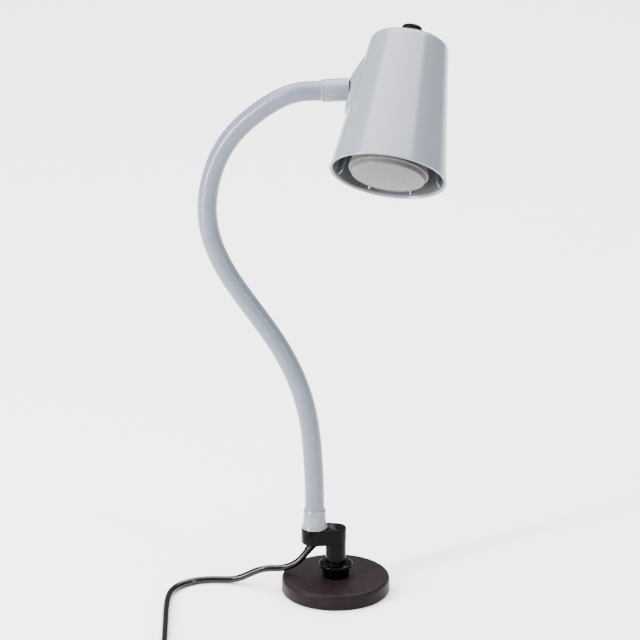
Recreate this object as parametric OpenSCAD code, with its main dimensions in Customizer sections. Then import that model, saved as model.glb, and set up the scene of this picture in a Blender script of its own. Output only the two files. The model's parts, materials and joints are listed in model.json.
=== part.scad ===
// Heat lamp on a flexible arm, standing on a round magnetic base.
// Millimetres, +Z up. The origin is the centre of the base's flat underside, on the post's axis.
// The arm lies in the XZ plane; the head leans its mouth towards -Y.

/* [Base] */
// Diameter of the base
base_d = 128; // [120:1:150]
// Height of the base, with its pad
base_h = 19; // [17:1:22]
// Rounding of the base's upper edge
base_edge = 4; // [2:0.5:5]
// Thickness of the protective pad under the magnet
pad_t = 1; // [0.8:0.1:1.5]

/* [Swivel] */
// Diameter of the collar that holds the post
collar_d = 33; // [30:0.5:34]
// Diameter of the collar's flange
flange_d = 39.5; // [36:0.5:42]
// Diameter of the post
post_d = 24.4; // [22:0.1:25]
// Height of the block's flat top above the table
block_top = 81; // [78:1:86]
// Thickness of the block at its arm end
block_h = 19; // [18:1:21]
// Distance from the post's axis to the arm's axis
block_reach = 25; // [24:0.5:30]
// Diameter of the block's arm end
block_end_d = 32; // [31:0.5:34]

/* [Arm] */
// Outside diameter of the flexible arm
arm_d = 23; // [21:0.5:24]
// Distance from one bending point to the next
link_len = 54; // [50:1:56]
// Bore that carries the lamp's leads
lead_bore_d = 9; // [7:0.5:10]
// Direction of the arm's upper end, above the horizontal
tip_heading = 3; // [0:1:10]

/* [Head] */
// Turn of the head about the arm's upper end, mouth towards -Y
head_nod = 42; // [20:1:60]
// Lean of the shade's axis from square to the arm's upper end
head_lean = 11; // [5:1:12]
// Length of the shade
shade_len = 170; // [165:1:175]
// Diameter of the shade's top, before its rounding
shade_top_d = 90; // [88:1:94]
// Diameter of the shade's mouth
shade_mouth_d = 136; // [132:1:140]
// Wall of the shade
shade_wall = 3; // [2.5:0.5:3.5]
// Rounding of the shade's shoulder
shoulder_r = 9; // [6:1:12]
// Number of ribs inside the shade
rib_count = 8; // [6:1:12]

/* [Lamp] */
// Diameter of the reflector lamp
lamp_d = 93; // [90:1:96]
// Overall length of the reflector lamp
lamp_len = 117; // [112:1:118]
// Diameter of the switch knob
knob_d = 24; // [20:1:28]

/* [Cord] */
// Diameter of the cord
cord_d = 8.2; // [7:0.1:8.4]
// Mean diameter of the coil
coil_d = 88; // [80:1:92]

/* [Hidden] */
$fn = 64;
fit_gap = 0.05;                 // radial clearance of a running or seated fit
eps = 0.01;

// Base: heights
cup_top_t = 4;
cup_wall = 3.5;
magnet_d = base_d - 2 * cup_wall - 2;
pole_d = 42;
magnet_h = base_h - pad_t - cup_top_t - 0.4;
pad_lap = 3;
collar_bore_d = 16;
collar_low_h = 12.6;
flange_t = 3.8;
collar_top = base_h + collar_low_h + flange_t;
spigot_h = 11;
set_screw_z = base_h + 0.75 * collar_low_h;
base_screw_d = 8;
washer_t = 0.6;

// Block: the post fills a socket under its right end
post_seat = 5;
post_top = block_top - block_h + post_seat;
stud_d = 14;
stud_h = 10;
arm_x = -block_reach;
block_end_r = block_end_d / 2;
gland_tilt = 35;                // gland's lean from straight down
gland_turn = 10;                // gland's turn from -X towards +Y
gland_out = 16;
gland_in = 8;
gland_r = 5.4;
fitting_spigot_d = 16;

// Arm: headings of the links, in degrees above +X, from the lowest to the highest
link_heading = [92, 96, 106, 117, 124, 122, 109, 88, 68, 46, 26];
link_count = len(link_heading);
arm_r = arm_d / 2;
cup_gap = 0.5;                  // clearance between a ball and the cup on it
cup_r = arm_r + cup_gap;
ferrule_h = 24;
ferrule_top = block_top + ferrule_h;
stub_h = 8;
tip_len = 23;
sleeve_len = 32.5;
sleeve_d = 27;
sleeve_to_axis = 61.5;          // from the sleeve's outer end to the shade's axis
hinge_bore_d = 3;

// Head frame: origin where the arm's axis meets the shade's axis, +Z towards the shade's top
top_z = 58;
mouth_z = top_z - shade_len;
cone_angle = atan((shade_mouth_d - shade_top_d) / 2 / shade_len);
nipple_d = 12.7;
nipple_end = 37;                // from the nipple's inner end to the shade's axis
nut_seat = 46.6;                // from the seat inside the shade to its axis
rib_h = 5;
rib_t = 3;
rib_inset = 4;
boss_r = 19;
boss_x = 43.5;
screw_x = 27;
lamp_r = lamp_d / 2;
lamp_face = mouth_z - 2.4;
cap_top = lamp_face + lamp_len;
cap_r = 13.1;
cap_h = 26;
cap_low = cap_top - cap_h;
holder_r = 19;
holder_top = 36;
holder_low = cap_low + 5;
plate_t = 1.5;
switch_r = 12;
switch_low = 42;
bushing_d = 10;
shaft_d = 6;
knob_low = top_z + 4;
knob_h = 14;
knob_flutes = 18;

// Cord: the free route from the gland's tip to the coil, on the table from z = table_cord_z on
table_cord_z = 4.2;
route = concat([
    [-34, 1.6, 48.9], [-38, 2.3, 43.1], [-42.4, 3, 37.4], [-47.8, 4, 32.4], [-54.2, 5.1, 28.5],
    [-61.4, 6.3, 25.6], [-69.2, 7.5, 24], [-77, 8.9, 23.4], [-86, 10.6, 21.6],
    [-94.8, 12.3, 18.2], [-103.4, 13.9, 13.5], [-112.2, 15.5, 8.8], [-121.6, 17.1, 5.6],
    [-131.5, 18.6, 4.4]],
    [for (p = [
        [-142, 19.4], [-154, 18.8], [-166, 15.8], [-177, 10], [-186, 1.6], [-192.6, -9],
        [-196.8, -22], [-199, -40], [-200, -65], [-200, -90], [-200, -115], [-200, -140],
        [-200, -165], [-200, -190], [-200, -210], [-200, -228]
    ]) [p[0], p[1], table_cord_z]]);
cord_r = cord_d / 2;
coil_x = -200 + coil_d / 2 + cord_d;
coil_y = -250;
coil_low = table_cord_z - cord_r;
coil_layers = 2;
coil_turns_wide = 3;
coil_inner_r = coil_d / 2 - coil_turns_wide * cord_r;
coil_outer_r = coil_d / 2 + coil_turns_wide * cord_r;
tail_run = 46;                  // how far the cord runs while it comes down off the coil
plug_len = 38;
plug_r = 15;
blade_len = 18;

function link_name(k) = str("arm_link_", k < 10 ? "0" : "", k);

// Where bending point k lies: 1 is just above the ferrule
function joint_at(k) = k == 1 ? [arm_x, 0, ferrule_top + stub_h]
    : joint_at(k - 1) + link_len * direction(link_heading[k - 2]);
function direction(heading) = [cos(heading), 0, sin(heading)];

// Heading of what leaves bending point k, and of what comes to it
function leaving(k) = k > link_count ? tip_heading : link_heading[k - 1];
function coming(k) = k == 1 ? 90 : link_heading[k - 2];

tip_joint = joint_at(link_count + 1);
head_at = tip_joint + (tip_len + sleeve_len + sleeve_to_axis) * direction(tip_heading);

// Moves +Z onto a heading in the XZ plane, keeping +Y
module along(heading) rotate([0, 90 - heading, 0]) children();

module at_joint(k, heading) translate(joint_at(k)) along(heading) children();

// Frame of the arm's upper end: +X along it, turned with the head
module at_tip() translate(head_at) rotate([0, -tip_heading, 0]) children();

// Frame of the shade: +Z up its axis
module at_head() at_tip() rotate([-head_nod, 0, 0]) rotate([0, head_lean, 0]) children();

module tube(outer_d, inner_d, h) {
    difference() {
        cylinder(d = outer_d, h = h);
        translate([0, 0, -1]) cylinder(d = inner_d, h = h + 2);
    }
}

module hex_prism(across, h) cylinder(d = across / cos(30), h = h, $fn = 6);

// ---------------------------------------------------------------- base

// Side outline of a disc whose upper edge is round
module rounded_disc(d, h, edge) {
    cylinder(d = d, h = h - edge);
    cylinder(d = d - 2 * edge, h = h);
    translate([0, 0, h - edge]) rotate_extrude() translate([d / 2 - edge, 0]) circle(r = edge);
}

module base_cup() {
    color([0.18, 0.15, 0.16]) difference() {
        translate([0, 0, pad_t]) rounded_disc(base_d, base_h - pad_t, base_edge);
        translate([0, 0, -1]) cylinder(d = base_d - 2 * cup_wall, h = base_h - cup_top_t + 1);
        cylinder(d = base_screw_d + 0.5, h = base_h + 1);
    }
}

module ring_magnet() {
    color([0.25, 0.25, 0.27]) translate([0, 0, pad_t]) tube(magnet_d, pole_d + 2, magnet_h);
}

module pole_disc() {
    color("silver") difference() {
        translate([0, 0, pad_t]) cylinder(d = pole_d, h = magnet_h + 0.4);
        cylinder(d = base_screw_d + 0.5, h = base_h);
        cylinder(d = 16, h = pad_t + 6);
    }
}

module base_pad() color([0.1, 0.1, 0.1]) cylinder(d = base_d - pad_lap, h = pad_t);

module base_screw() {
    head_h = 5;
    color("silver") translate([0, 0, pad_t + 1]) difference() {
        union() {
            cylinder(d = 14, h = head_h);
            cylinder(d = base_screw_d, h = base_h + 2);
        }
        translate([0, 0, -1]) hex_prism(6, 4);
    }
}

module collar() {
    socket_low = collar_top - spigot_h - 1;
    color([0.04, 0.04, 0.04]) translate([0, 0, base_h]) difference() {
        union() {
            cylinder(d1 = collar_d - 1.2, d2 = collar_d, h = collar_low_h);
            translate([0, 0, collar_low_h]) rounded_flange(flange_d, flange_t, 0.8);
        }
        translate([0, 0, socket_low - base_h]) cylinder(d = collar_bore_d, h = spigot_h + 2);
        translate([0, 0, -1]) cylinder(d = base_screw_d + fit_gap, h = collar_low_h);
        translate([0, 0, set_screw_z - base_h]) rotate([-90, 0, 0]) cylinder(d = 5.1, h = 20);
    }
}

// A disc whose two rims are rounded
module rounded_flange(d, h, edge) {
    cylinder(d = d - 2 * edge, h = h);
    translate([0, 0, edge]) cylinder(d = d, h = h - 2 * edge);
    for (z = [edge, h - edge])
        translate([0, 0, z]) rotate_extrude() translate([d / 2 - edge, 0]) circle(r = edge);
}

// Grips the groove in the post's spigot, from behind
module collar_set_screw() {
    tip_y = 7;
    color("dimgray") translate([0, tip_y, set_screw_z]) rotate([-90, 0, 0])
        difference() {
            cylinder(d = 5, h = 8.4);
            translate([0, 0, 6]) hex_prism(2.5, 3);
        }
}

// ---------------------------------------------------------------- swivel

module swivel_washer() {
    color("white") translate([0, 0, collar_top]) tube(post_d - 0.6, collar_bore_d + 0.4, washer_t);
}

module swivel_post() {
    low = collar_top + washer_t;
    color([0.04, 0.04, 0.04]) difference() {
        union() {
            translate([0, 0, low]) cylinder(d = post_d, h = post_top - low);
            translate([0, 0, collar_top - spigot_h])
                cylinder(d = collar_bore_d - 2 * fit_gap, h = spigot_h + 1);
            translate([0, 0, post_top - 1]) cylinder(d = stud_d, h = stud_h + 1);
        }
        translate([0, 0, set_screw_z - 3]) tube(collar_bore_d + 2, 13.4, 6);
    }
}

// Two round ends joined by their common tangents, which lie a hair inside them
module block_blank() {
    r1 = block_end_r;
    r2 = post_d / 2;
    inside = 0.03;
    tangent = acos((r1 - r2) / block_reach);
    translate([arm_x, 0, 0]) cylinder(r = r1, h = block_h);
    cylinder(r = r2, h = block_h);
    x1 = arm_x + (r1 - inside) * cos(tangent);
    y1 = (r1 - inside) * sin(tangent);
    x2 = (r2 - inside) * cos(tangent);
    y2 = (r2 - inside) * sin(tangent);
    linear_extrude(block_h) polygon([[x1, -y1], [x2, -y2], [x2, y2], [x1, y1]]);
}

module offset_block() {
    low = block_top - block_h;
    color([0.07, 0.07, 0.075]) difference() {
        translate([0, 0, low]) block_blank();
        translate([0, 0, low - 1]) cylinder(d = post_d + 2 * fit_gap, h = post_seat + 1);
        cylinder(d = stud_d + 2 * fit_gap, h = post_top + stud_h + 0.5);
        translate([arm_x, 0, low + 6])
            cylinder(d = fitting_spigot_d + 2 * fit_gap, h = block_h);
        at_gland() translate([0, 0, -gland_out])
            cylinder(r = gland_r + fit_gap, h = gland_out + gland_in + 1);
        translate([arm_x, 0, block_top - 6]) rotate([-90, 0, 0]) cylinder(d = 5.1, h = 30);
    }
}

// Locks the arm's fitting, from behind
module block_set_screw() {
    color("dimgray") translate([arm_x, fitting_spigot_d / 2 + fit_gap, block_top - 6])
        rotate([-90, 0, 0]) difference() {
            cylinder(d = 5, h = 6.5);
            translate([0, 0, 4]) hex_prism(2.5, 3);
        }
}

// Frame of the cord's way out: -Z along the cord, origin at the block's underside
module at_gland() {
    translate([arm_x, 0, block_top - block_h]) rotate([0, 0, -gland_turn]) rotate([0, gland_tilt, 0])
        children();
}

module cord_gland() {
    color([0.05, 0.05, 0.05]) at_gland() {
        translate([0, 0, -gland_out])
            cylinder(r1 = cord_r + 0.4, r2 = gland_r, h = gland_out - 2);
        translate([0, 0, -2]) cylinder(r = gland_r, h = gland_in + 2);
    }
}

module lower_fitting() {
    seat = block_top - 10;
    color("silver") difference() {
        union() {
            translate([arm_x, 0, seat]) cylinder(d = fitting_spigot_d, h = 12);
            translate([arm_x, 0, block_top]) cylinder(d = arm_d, h = ferrule_h + stub_h);
            translate(joint_at(1)) sphere(r = arm_r);
        }
        translate([arm_x, 0, seat - 1]) cylinder(d = lead_bore_d, h = ferrule_h + stub_h + 50);
        hinge_bore(1);
    }
}

module lower_ferrule() {
    lip_d = 30.8;
    lip_h = 2.5;
    shoulder = 6;
    color([0.74, 0.76, 0.79]) translate([arm_x, 0, block_top]) difference() {
        union() {
            cylinder(d1 = lip_d, d2 = 28.6, h = lip_h);
            cylinder(d1 = 28.8, d2 = 26.6, h = ferrule_h - shoulder);
            translate([0, 0, ferrule_h - shoulder - eps])
                cylinder(d1 = 26.6, d2 = 25.8, h = shoulder - 3);
            translate([0, 0, ferrule_h - 3 - 2 * eps]) cylinder(d1 = 25.8, d2 = 24.2, h = 3);
        }
        translate([0, 0, -1]) cylinder(d = arm_d + 2 * fit_gap, h = ferrule_h + 2);
    }
}

// ---------------------------------------------------------------- flexible arm

// Odd points bend in the arm's plane, even ones sideways
module hinge_bore(k) {
    middle = (coming(k) + leaving(k)) / 2;
    at_joint(k, middle) rotate(k % 2 == 1 ? [90, 0, 0] : [0, 90, 0])
        cylinder(d = hinge_bore_d, h = arm_d + 4, center = true);
}

// One length of the arm: a cup on the ball below it, and a ball for the next
module arm_link(k) {
    color([0.74, 0.76, 0.79]) difference() {
        at_joint(k, link_heading[k - 1]) union() {
            cylinder(r = arm_r, h = link_len);
            translate([0, 0, link_len]) sphere(r = arm_r);
        }
        at_joint(k, link_heading[k - 1]) {
            sphere(r = cup_r);
            translate([0, 0, -1]) cylinder(d = lead_bore_d, h = link_len + arm_d);
        }
        hinge_bore(k + 1);
    }
}

// Cup on the last ball, the rod in the sleeve, and the hollow nipple that carries the head
module upper_fitting() {
    rod = tip_len + sleeve_len - 4;
    nipple = sleeve_to_axis + 4 - nipple_end;
    last = link_count + 1;
    color("silver") difference() {
        at_joint(last, tip_heading) {
            cylinder(r = arm_r, h = rod);
            translate([0, 0, rod - 1]) cylinder(d = nipple_d, h = nipple + 1);
        }
        translate(joint_at(last)) sphere(r = cup_r);
        at_joint(last, tip_heading) cylinder(d = lead_bore_d, h = rod + nipple + 5);
    }
}

module upper_sleeve() {
    color([0.74, 0.76, 0.79]) at_joint(link_count + 1, tip_heading) translate([0, 0, tip_len])
        difference() {
            union() {
                cylinder(d1 = sleeve_d - 3, d2 = sleeve_d, h = 2);
                translate([0, 0, 2 - eps]) cylinder(d = sleeve_d, h = sleeve_len - 2 - washer_t);
            }
            translate([0, 0, -1]) cylinder(d = arm_d + 2 * fit_gap, h = sleeve_len - 3);
            cylinder(d = nipple_d + 2 * fit_gap, h = sleeve_len + 1);
        }
}

// ---------------------------------------------------------------- head

// Half outline of the shade's cone, drawn in by inset, and reaching below the mouth by extra
module cone_half(inset, extra = 0) {
    r = max(shoulder_r - inset, 1);
    top = top_z - inset;
    sharp_r = shade_top_d / 2 + inset * tan(cone_angle) - inset / cos(cone_angle);
    centre_x = sharp_r + r * tan(cone_angle) - r / cos(cone_angle);
    low = mouth_z - extra;
    low_r = sharp_r + (top - low) * tan(cone_angle);
    translate([centre_x, top - r]) circle(r = r);
    polygon([[0, top], [centre_x, top],
             [centre_x + r * cos(cone_angle), top - r + r * sin(cone_angle)],
             [low_r, low], [0, low]]);
}

module cone(inset, extra = 0) rotate_extrude() cone_half(inset, extra);

// Housing of the swivel, standing off the side of the cone
module side_boss() {
    front = boss_x + boss_r;
    intersection() {
        translate([0, 0, -80]) linear_extrude(125) union() {
            translate([-boss_x, 0]) circle(r = boss_r);
            translate([-boss_x, -boss_r]) square([boss_x, 2 * boss_r]);
        }
        rotate([90, 0, 0]) linear_extrude(3 * boss_r, center = true) polygon([
            [-30, 40], [-45, 38], [-48.4, 33], [-front + 2, 6], [-front, -2], [-front + 0.6, -41],
            [-front + 3, -43.5], [-front + 1, -72], [-front + 6, -76], [-30, -76]]);
    }
}

// In the shade's frame: +Z out along the swivel's axis, to the arm
module toward_arm() rotate([0, -head_lean, 0]) rotate([0, -90, 0]) children();

module shade() {
    color([0.78, 0.8, 0.82]) at_head() difference() {
        union() {
            cone(0);
            side_boss();
        }
        difference() {
            cone(shade_wall, 5);
            difference() {
                intersection() {
                    ribs();
                    cone(shade_wall - 1, 5);
                }
                cone(shade_wall + rib_h, 5);
            }
            toward_arm() translate([0, 0, nut_seat + fit_gap]) cylinder(d = 24, h = 20);
        }
        toward_arm() translate([0, 0, sleeve_to_axis - fit_gap]) cylinder(d = sleeve_d + 0.3, h = 20);
        toward_arm() cylinder(d = nipple_d + 2 * fit_gap, h = 90);
        cylinder(d = bushing_d + 2 * fit_gap, h = top_z + 5);
        for (side = [1, -1])
            translate([0, side * screw_x, top_z - 8]) cylinder(d = 4.2, h = 12);
    }
}

module ribs() {
    for (i = [0:rib_count - 1])
        rotate((i + 0.5) * 360 / rib_count) translate([0, -rib_t / 2, mouth_z + rib_inset])
            cube([shade_mouth_d, rib_t, shade_len - rib_inset - 30]);
}

// Axis of the head's swivel, +Z from the arm into the shade, origin on the shade's axis
module on_swivel() at_tip() rotate([0, 90, 0]) children();

module head_washer() {
    color("white") on_swivel() translate([0, 0, -sleeve_to_axis - washer_t])
        tube(sleeve_d - 2, nipple_d + 0.3, washer_t);
}

module spring_washer() {
    color("silver") on_swivel() translate([0, 0, -nut_seat]) tube(20, nipple_d + 0.3, 1.6);
}

module head_nut() {
    color("goldenrod") on_swivel() translate([0, 0, 1.6 - nut_seat]) difference() {
        hex_prism(19, 5);
        translate([0, 0, -1]) cylinder(d = nipple_d + 0.1, h = 8);
    }
}

module holder_bracket() {
    leg_y = 22;
    strap = 14;
    under = top_z - shade_wall - plate_t;
    color("lightgray") at_head() difference() {
        union() {
            translate([-strap / 2, -leg_y, holder_top]) cube([strap, 2 * leg_y, plate_t]);
            for (side = [1, -1]) {
                translate([-strap / 2, side * leg_y - plate_t / 2, holder_top])
                    cube([strap, plate_t, under - holder_top + plate_t]);
                translate([-strap / 2, side > 0 ? leg_y : -screw_x - 5, under])
                    cube([strap, screw_x + 5 - leg_y, plate_t]);
            }
        }
        for (side = [1, -1]) {
            translate([0, side * screw_x, under - 1]) cylinder(d = 3.4, h = 4);
            translate([0, side * 12, holder_top - 1]) cylinder(d = 3.4, h = 4);
        }
        for (side = [1, -1]) translate([side * 4.2, 0, holder_top - 1]) cylinder(d = 4, h = 4);
    }
}

// Pan-head screw, head up, its underside at z = 0
module pan_screw(d, length) {
    cylinder(d = 2 * d, h = 0.6 * d);
    translate([0, 0, -length]) cylinder(d = d, h = length + eps);
}

module bracket_screws() {
    color("silver") at_head() for (side = [1, -1])
        translate([0, side * screw_x, top_z]) pan_screw(3.3, 8);
}

module holder_screws() {
    color("silver") at_head() for (side = [1, -1])
        translate([0, side * 12, holder_top + plate_t]) pan_screw(3.3, 9);
}

module lamp_holder() {
    floor_low = cap_top + 4;
    color("white") at_head() difference() {
        union() {
            translate([0, 0, holder_low]) cylinder(r = holder_r, h = holder_top - holder_low - 8);
            translate([0, 0, holder_top - 8]) cylinder(r1 = holder_r, r2 = holder_r - 2, h = 8);
        }
        translate([0, 0, holder_low - 1]) cylinder(r = cap_r + 1.1, h = floor_low - holder_low + 1);
        for (side = [1, -1]) {
            translate([side * 4.2, 0, floor_low - 1]) cylinder(d = 3.6, h = 60);
            translate([0, side * 12, holder_top - 10]) cylinder(d = 3.4, h = 20);
        }
    }
}

module holder_shell() {
    low = holder_low + 1;
    color("goldenrod") at_head() difference() {
        translate([0, 0, low]) cylinder(r = cap_r + 1, h = cap_top + 4 - low);
        translate([0, 0, low - 1]) cylinder(r = cap_r + 0.3, h = cap_top + 3.2 - low + 1);
        translate([0, 0, cap_top]) cylinder(r = 6.5, h = 6);
    }
}

module holder_contact() {
    color("goldenrod") at_head() translate([0, 0, cap_top]) cylinder(r = 5, h = 4);
}

module lamp_cap() {
    tip_h = 3;
    thread_pitch = 4;
    color("silver") at_head() {
        translate([0, 0, cap_low]) cylinder(r = cap_r - 0.9, h = cap_h - 5);
        for (i = [1:4]) translate([0, 0, cap_low + i * thread_pitch]) rotate_extrude()
            translate([cap_r - 1.1, 0]) circle(r = 1.1);
        translate([0, 0, cap_top - 5 - eps])
            cylinder(r1 = cap_r - 0.9, r2 = 6, h = 5 - tip_h);
        translate([0, 0, cap_top - tip_h - 2 * eps]) cylinder(r = 4.5, h = tip_h + 2 * eps);
    }
}

// Radius of the lamp's glass at a height: a parabola from the neck down to the lens
function glass_r(z) = let(neck = 13, deep = cap_low - (lamp_face + 11))
    neck + (lamp_r - neck) * sqrt((cap_low - z) / deep);

module lamp_reflector() {
    wall = 2;
    steps = 9;
    low = lamp_face + 11;
    levels = [for (i = [0:steps]) cap_low - (cap_low - low) * pow(i / steps, 2)];
    color([0.85, 0.85, 0.86]) at_head() rotate_extrude() polygon(concat(
        [for (z = levels) [glass_r(z), z]],
        [for (i = [steps:-1:0]) [glass_r(levels[i]) - wall, levels[i]]]));
}

module lamp_lens() {
    color([0.82, 0.81, 0.8]) at_head() translate([0, 0, lamp_face]) rotate_extrude() polygon([
        [0, 0], [20, 0.3], [34, 1.1], [42.5, 2.4], [45.6, 5], [lamp_r, 8.5], [lamp_r, 11],
        [lamp_r - 2.2, 11], [lamp_r - 2.2, 8], [41, 5.2], [0, 2.8]]);
}

module rotary_switch() {
    color([0.1, 0.1, 0.1]) at_head() {
        translate([0, 0, switch_low]) cylinder(r = switch_r, h = top_z - shade_wall - switch_low);
        translate([0, 0, top_z - shade_wall - eps]) cylinder(d = bushing_d, h = shade_wall + 3);
    }
}

module switch_nut() {
    color("silver") at_head() translate([0, 0, top_z]) difference() {
        hex_prism(14, 2.4);
        translate([0, 0, -1]) cylinder(d = bushing_d + 0.1, h = 5);
    }
}

// Knob and the shaft that it turns, pressed together
module switch_knob() {
    color([0.03, 0.03, 0.03]) at_head() difference() {
        union() {
            translate([0, 0, knob_low]) cylinder(d = knob_d, h = knob_h - 2);
            translate([0, 0, knob_low + knob_h - 2])
                cylinder(d1 = knob_d, d2 = knob_d - 4, h = 2);
            translate([0, 0, top_z + 3.1]) cylinder(d = shaft_d, h = 3);
        }
        for (i = [0:knob_flutes - 1]) rotate(i * 360 / knob_flutes)
            translate([knob_d / 2 + 0.6, 0, knob_low - 1]) cylinder(d = 2.6, h = knob_h + 2);
    }
}

module switch_leads() {
    color([0.75, 0.1, 0.08]) at_head() for (side = [1, -1])
        translate([side * 4.2, 0, cap_top + 5]) cylinder(d = 2.4, h = switch_low - cap_top - 5);
}

// ---------------------------------------------------------------- cord

function unit(v) = v / norm(v);

// A tube along points, with flat ends; sides counts the facets round it
module swept_tube(points, r, sides) {
    n = len(points);
    rings = [for (i = [0:n - 1])
        let(t = unit(points[min(i + 1, n - 1)] - points[max(i - 1, 0)]),
            across = unit(cross(t, [0, 0, 1])), up = cross(across, t))
        for (s = [0:sides - 1])
            points[i] + r * (cos(s * 360 / sides) * across + sin(s * 360 / sides) * up)];
    walls = [for (i = [0:n - 2], s = [0:sides - 1]) let(next = (s + 1) % sides)
        [i * sides + s, i * sides + next, (i + 1) * sides + next, (i + 1) * sides + s]];
    start = [for (s = [sides - 1:-1:0]) s];
    end = [for (s = [0:sides - 1]) (n - 1) * sides + s];
    polyhedron(points = rings, faces = concat(walls, [start], [end]), convexity = 6);
}

module cord_tube() color([0.05, 0.05, 0.05]) swept_tube(route, cord_r, 12);

// Outer shape of the coil that the rest of the cord is wound into
module cord_coil() {
    color([0.05, 0.05, 0.05]) translate([coil_x, coil_y, coil_low])
        tube(2 * coil_outer_r, 2 * coil_inner_r, coil_layers * cord_d);
}

// Where the cord leaves the coil's upper layer, at its -Y side, and comes down to the table
tail_at = [coil_x, coil_y - coil_outer_r + cord_r, coil_low + 1.5 * cord_d];

// Where the plug begins; local +Z is along it, +X is up
module at_plug() translate(tail_at + [tail_run, 0, -cord_d]) rotate([0, 90, 0]) rotate([0, 0, 180])
    children();

module cord_tail() {
    slope = atan(cord_d / tail_run);
    color([0.05, 0.05, 0.05]) translate(tail_at) rotate([0, 90 + slope, 0])
        cylinder(r = cord_r, h = tail_run / cos(slope));
}

module plug_body() {
    grip = 12;
    color([0.06, 0.06, 0.06]) at_plug() {
        cylinder(r = cord_r, h = grip + eps);
        translate([0, 0, grip]) linear_extrude(plug_len - grip) plug_plan();
    }
}

// Flat-sided outline of the plug, lying on the table
module plug_plan() {
    flat = cord_r - 0.1;
    intersection() {
        circle(r = plug_r);
        translate([-flat, -plug_r]) square([2 * flat + 9, 2 * plug_r]);
    }
}

module plug_blades() {
    color("silver") at_plug() for (side = [1, -1])
        translate([-2, side * 6.35 - 0.75, plug_len]) cube([6.3, 1.5, blade_len]);
}

module plug_ground_pin() {
    color("silver") at_plug() translate([8.2, 0, plug_len]) {
        cylinder(d = 4.8, h = blade_len + 1);
        translate([0, 0, blade_len + 1]) sphere(d = 4.8);
    }
}

base_cup();
ring_magnet();
pole_disc();
base_pad();
base_screw();
collar();
collar_set_screw();
swivel_washer();
swivel_post();
offset_block();
block_set_screw();
cord_gland();
lower_fitting();
lower_ferrule();
for (k = [1:link_count])
    arm_link(k);
upper_fitting();
upper_sleeve();
shade();
head_washer();
spring_washer();
head_nut();
holder_bracket();
bracket_screws();
holder_screws();
lamp_holder();
holder_shell();
holder_contact();
lamp_cap();
lamp_reflector();
lamp_lens();
rotary_switch();
switch_nut();
switch_knob();
switch_leads();
cord_tube();
cord_coil();
cord_tail();
plug_body();
plug_blades();
plug_ground_pin();
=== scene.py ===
"""Visual model of a heat lamp on a flexible arm. Metres, in the frame of the CAD model."""
import json
import math
import bpy
import bmesh
from mathutils import Matrix, Vector


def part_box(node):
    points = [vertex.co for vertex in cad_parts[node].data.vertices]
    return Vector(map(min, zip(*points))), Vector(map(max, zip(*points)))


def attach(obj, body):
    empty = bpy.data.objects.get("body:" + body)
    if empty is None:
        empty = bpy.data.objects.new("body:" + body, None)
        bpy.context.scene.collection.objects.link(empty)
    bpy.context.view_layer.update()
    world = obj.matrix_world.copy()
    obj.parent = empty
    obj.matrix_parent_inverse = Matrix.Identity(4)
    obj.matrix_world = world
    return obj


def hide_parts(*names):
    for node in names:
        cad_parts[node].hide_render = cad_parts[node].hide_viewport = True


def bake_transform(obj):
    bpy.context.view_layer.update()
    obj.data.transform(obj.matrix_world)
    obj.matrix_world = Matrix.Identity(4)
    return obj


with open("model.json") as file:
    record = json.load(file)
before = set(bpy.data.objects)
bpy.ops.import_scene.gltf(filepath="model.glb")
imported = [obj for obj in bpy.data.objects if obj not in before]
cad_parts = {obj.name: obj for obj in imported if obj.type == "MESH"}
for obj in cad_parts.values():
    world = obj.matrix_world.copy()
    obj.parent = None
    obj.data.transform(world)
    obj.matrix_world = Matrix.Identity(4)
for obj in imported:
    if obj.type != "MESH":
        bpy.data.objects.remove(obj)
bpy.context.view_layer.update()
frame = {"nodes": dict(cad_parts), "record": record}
MM = 0.001

JOINTS = {j["name"]: j for j in frame["record"]["behaviour"]["joints"]}
NODE = frame["nodes"]


def joint_pos(name):
    return Vector(JOINTS[name]["pos_m"])


def joint_axis(name):
    return Vector(JOINTS[name]["axis"]).normalized()


def add_object(name, data):
    obj = bpy.data.objects.new(name, data)
    bpy.context.scene.collection.objects.link(obj)
    return obj


# ---------------------------------------------------------------- camera

def aim(obj, forward):
    obj.rotation_mode = "QUATERNION"
    obj.rotation_quaternion = forward.to_track_quat("-Z", "Y")


def make_camera():
    """A long lens far away, above and in front, looking down at the lamp."""
    data = bpy.data.cameras.new("view")
    data.lens = 378.15
    data.sensor_width = 36.0
    data.clip_start = 0.5
    data.clip_end = 60.0
    cam = add_object("view", data)
    cam.location = (0.0, -7.3140, 3.2601)
    pan = math.radians(-0.14625)
    pitch = math.radians(21.73036)
    level = math.cos(pitch)
    aim(cam, Vector((math.sin(pan) * level, math.cos(pan) * level, -math.sin(pitch))))
    bpy.context.scene.camera = cam


make_camera()


# ---------------------------------------------------------------- materials

def new_material(name):
    mat = bpy.data.materials.new(name)
    mat.use_nodes = True
    nodes = mat.node_tree.nodes
    return mat, nodes, mat.node_tree.links, nodes["Principled BSDF"]


def noise_node(nodes, links, scale, detail=4.0, rough=0.6):
    coord = nodes.new("ShaderNodeTexCoord")
    noise = nodes.new("ShaderNodeTexNoise")
    noise.inputs["Scale"].default_value = scale
    noise.inputs["Detail"].default_value = detail
    noise.inputs["Roughness"].default_value = rough
    links.new(coord.outputs["Object"], noise.inputs["Vector"])
    return noise


def ramp(nodes, links, source, low, high, start=0.3, end=0.7):
    node = nodes.new("ShaderNodeMapRange")
    node.inputs["From Min"].default_value = start
    node.inputs["From Max"].default_value = end
    node.inputs["To Min"].default_value = low
    node.inputs["To Max"].default_value = high
    links.new(source, node.inputs["Value"])
    return node.outputs["Result"]


LOOK = {}


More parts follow.
